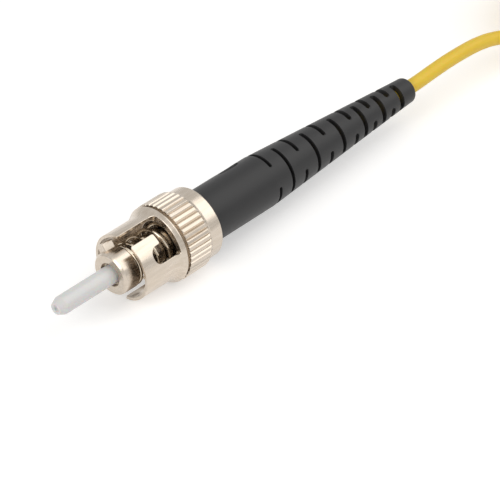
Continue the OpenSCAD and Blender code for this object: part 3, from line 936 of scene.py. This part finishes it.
# ---- Cord and hank ------------------------------------------------------
# Two-millimetre cord with a soft yellow jacket, nine turns folded into a flat
# hank, layer on layer, between the two connectors of a one-metre lead.
LEAD_ROUTE = [
    (64.9, 0, 0), (67.5, 0, 0.12), (70, 0, 0.3), (73, 0, 0.45), (76, 0, 0.42), (79, 0, 0.22),
    (82, -0.2, -0.2), (85, -0.85, -0.9), (88, -2.1, -1.85), (91, -3.8, -2.8), (94, -5.7, -3.55),
    (97, -7.3, -3.9), (100, -8, -3.95),
]
FAR_LEAD_ROUTE = [
    (122, -8, 4.05), (125, -7.95, 4), (128, -7.25, 3.45), (131, -6.1, 2.5), (134, -4.7, 1.4),
    (137, -3.6, 0.5), (140, -3.02, 0.02), (142.5, -3, 0),
]
CORD_R = 1.0
FOLD_NEAR, FOLD_FAR = 100, 122
OUTER_R, INNER_R = 8.0, 6.0
BOTTOM_Z, LAYER = -3.95, 2.0
TURNS = [
    (OUTER_R, 0), (INNER_R, 0), (INNER_R, 1), (OUTER_R, 1), (OUTER_R, 2), (INNER_R, 2),
    (INNER_R, 3), (OUTER_R, 3), (INNER_R, 4), (OUTER_R, 4),
]


def through(points, step):
    """Points close together on a smooth curve through the given ones."""
    made = []
    for i in range(len(points) - 1):
        p0, p1 = Vector(points[max(i - 1, 0)]), Vector(points[i])
        p2, p3 = Vector(points[i + 1]), Vector(points[min(i + 2, len(points) - 1)])
        count = max(2, round((p2 - p1).length / step))
        for k in range(count):
            t = k / count
            made.append(0.5 * (
                2 * p1 + (p2 - p0) * t + (2 * p0 - 5 * p1 + 4 * p2 - p3) * t * t
                + (3 * p1 - p0 - 3 * p2 + p3) * t ** 3
            ))
    return made + [Vector(points[-1])]


def eased(t):
    """A share from 0 to 1 that starts and ends slowly."""
    return t * t * (3 - 2 * t)


ROUTE_STEP, RUN_STEPS, BEND_STEPS = 0.8, 22, 24
RUN = FOLD_FAR - FOLD_NEAR
TOP_LAYER = TURNS[-1][1]
cord_path = through(LEAD_ROUTE, ROUTE_STEP)
for (radius, layer), (next_radius, next_layer) in zip(TURNS, TURNS[1:]):
    z, next_z = BOTTOM_Z + LAYER * layer, BOTTOM_Z + LAYER * next_layer
    for k in range(1, RUN_STEPS + 1):
        cord_path.append(Vector((FOLD_NEAR + RUN * k / RUN_STEPS, -radius, z)))
    for k in range(1, BEND_STEPS + 1):
        a = math.pi * k / BEND_STEPS
        cord_path.append(Vector((FOLD_FAR + radius * math.sin(a), -radius * math.cos(a), z)))
    for k in range(1, RUN_STEPS + 1):
        cord_path.append(Vector((FOLD_FAR - RUN * k / RUN_STEPS, radius, z)))
    for k in range(1, BEND_STEPS + 1):
        t = k / BEND_STEPS
        both = radius != next_radius and z != next_z
        slide = eased(max(0, 2 * t - 1) if both else t)
        climb = eased(min(1, 2 * t) if both else t)
        reach = radius + (next_radius - radius) * slide
        a = math.pi * t
        cord_path.append(Vector((
            FOLD_NEAR - reach * math.sin(a), reach * math.cos(a), z + (next_z - z) * climb,
        )))
for k in range(1, RUN_STEPS):
    cord_path.append(Vector((FOLD_NEAR + RUN * k / RUN_STEPS, -OUTER_R, BOTTOM_Z + TOP_LAYER * LAYER)))
cord_path += through(FAR_LEAD_ROUTE, ROUTE_STEP)

cord_data = bpy.data.curves.new("yellow_cord", "CURVE")
cord_data.dimensions = "3D"
cord_data.bevel_depth = CORD_R * MM
cord_data.bevel_resolution = 6
cord_data.use_fill_caps = True
spline = cord_data.splines.new("POLY")
spline.points.add(len(cord_path) - 1)
for point, place in zip(spline.points, cord_path):
    point.co = (place.x * MM, place.y * MM, place.z * MM, 1)
cord_data.materials.append(jacket_pvc)
cord_piece = bpy.data.objects.new("yellow_cord", cord_data)
bpy.context.scene.collection.objects.link(cord_piece)
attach(cord_piece, "connector")
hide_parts("cord_lead", "cord_hank", "far_cord_lead")

# ---- Hank strap ---------------------------------------------------------
# A band of hook-and-loop tape closed round the middle of the hank.  It keeps
# the spare length folded.
strap_fabric = finish(
    "loop_tape", display(58, 58, 60), display(36, 36, 38), (0.8, 0.95), 0.25, bump=0.06,
    Sheen_Weight=0.4,
)
STRAP_X, STRAP_W, STRAP_T = 111.0, 5.0, 0.36
STRAP_CORNER, STRAP_NIP, STRAP_STEP = 0.9, 0.06, 0.8
HANK_TOP = BOTTOM_Z + TOP_LAYER * LAYER + CORD_R
HANK_MIDDLE_Z = (BOTTOM_Z - CORD_R + HANK_TOP) / 2
HALF_Y, HALF_Z = 9.03, HANK_TOP - HANK_MIDDLE_Z + 0.03


def strap_loop(out):
    """Outline round the hank in (y, z), moved out by a distance."""
    return rounded([
        (-HALF_Y - out, HANK_MIDDLE_Z - HALF_Z - out, STRAP_CORNER + out),
        (HALF_Y + out, HANK_MIDDLE_Z - HALF_Z - out, STRAP_CORNER + out),
        (HALF_Y + out, HANK_MIDDLE_Z + HALF_Z + out, STRAP_CORNER + out),
        (-HALF_Y - out, HANK_MIDDLE_Z + HALF_Z + out, STRAP_CORNER + out),
    ], 6)


tape = Shell()
under, over = strap_loop(0), strap_loop(STRAP_T)
section = [(0, STRAP_NIP), (STRAP_NIP, 0), (STRAP_W - STRAP_NIP, 0), (STRAP_W, STRAP_NIP)]
counts = stretch_counts(under, STRAP_STEP, True)
under, over = divided(under, counts, True), divided(over, counts, True)
rings = []
for along_x, nip in section:
    share = nip / STRAP_T
    rings.append([(a[0] + (b[0] - a[0]) * (1 - share), a[1] + (b[1] - a[1]) * (1 - share), along_x)
                  for a, b in zip(under, over)])
for along_x, nip in reversed(section):
    share = nip / STRAP_T
    rings.append([(a[0] + (b[0] - a[0]) * share, a[1] + (b[1] - a[1]) * share, along_x)
                  for a, b in zip(under, over)])
tape_points = [
    ((STRAP_X - STRAP_W / 2 + along_x) * MM, y * MM, z * MM) for ring in rings for y, z, along_x in ring
]
tape_faces = [
    [i % len(tape_points) for i in face] for face in strip_faces(len(under), len(rings) + 1)
]
tape.add(tape_points, tape_faces)
strap = fit("hank_tape", tape.mesh("hank_tape"), strap_fabric, "hank_strap")
